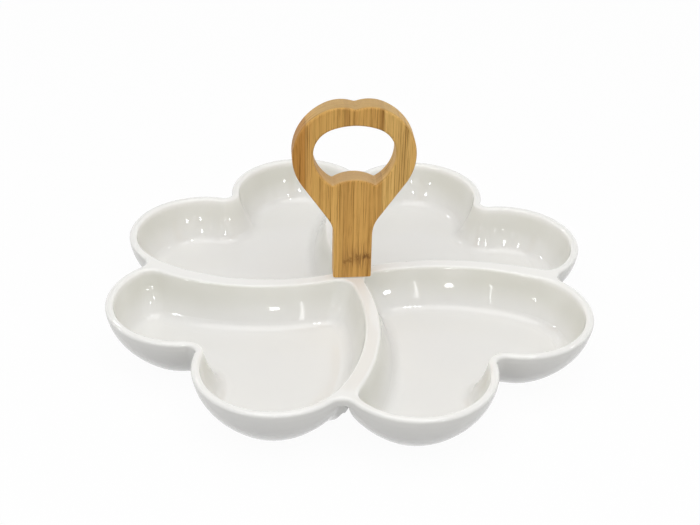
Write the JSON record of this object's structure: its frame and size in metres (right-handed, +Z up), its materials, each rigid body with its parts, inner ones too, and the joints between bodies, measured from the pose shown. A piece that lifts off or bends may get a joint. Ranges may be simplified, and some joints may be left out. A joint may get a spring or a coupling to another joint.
{
  "type": "divided serving bowl",
  "caption": "Glazed porcelain serving dish of heart-shaped bowls in a ring, split by bowed dividers, with a bamboo carrying handle screwed to its hub.",
  "frame": {"origin": "middle of the base, on the table, under the hub", "axes": "+Z up along the handle screw; +X and +Y along two of the notches between the hearts, toward the ends of two dividers"},
  "size_m": [0.2652, 0.2652, 0.1375],
  "materials": {
    "porcelain": "glossy white glaze",
    "bamboo": "caramelised laminated bamboo, oiled satin",
    "silicone": "translucent silicone sheet",
    "brass": "plain turned",
    "screw_steel": "plain stainless",
    "washer_steel": "plain stainless",
    "rubber": "matt black"
  },
  "bodies": {
    "dish": {"dish": "porcelain", "handle_gasket": "silicone"},
    "handle": {"handle": "bamboo", "threaded_insert": "brass"},
    "washers": {"steel_washer": "washer_steel", "rubber_washer": "rubber"},
    "screw": {"clamp_screw": "screw_steel"}
  },
  "joints": [
    {"name": "handle_swivel", "type": "hinge", "parent": "dish", "child": "handle", "pos_m": [0, 0, 0.0322], "axis": [0, 0, 1], "continuous": true},
    {"name": "screw_withdraw", "type": "slide", "parent": "handle", "child": "washers", "axis": [0, 0, -1], "range_m": [0, 0.012]},
    {"name": "screw_turn", "type": "hinge", "parent": "washers", "child": "screw", "pos_m": [0, 0, 0.017], "axis": [0, 0, -1], "range_deg": [0, 5400]}
  ],
  "couplings": [
    {"joint": "screw_turn", "follows": "screw_withdraw", "rad_per_m": 7854}
  ]
}
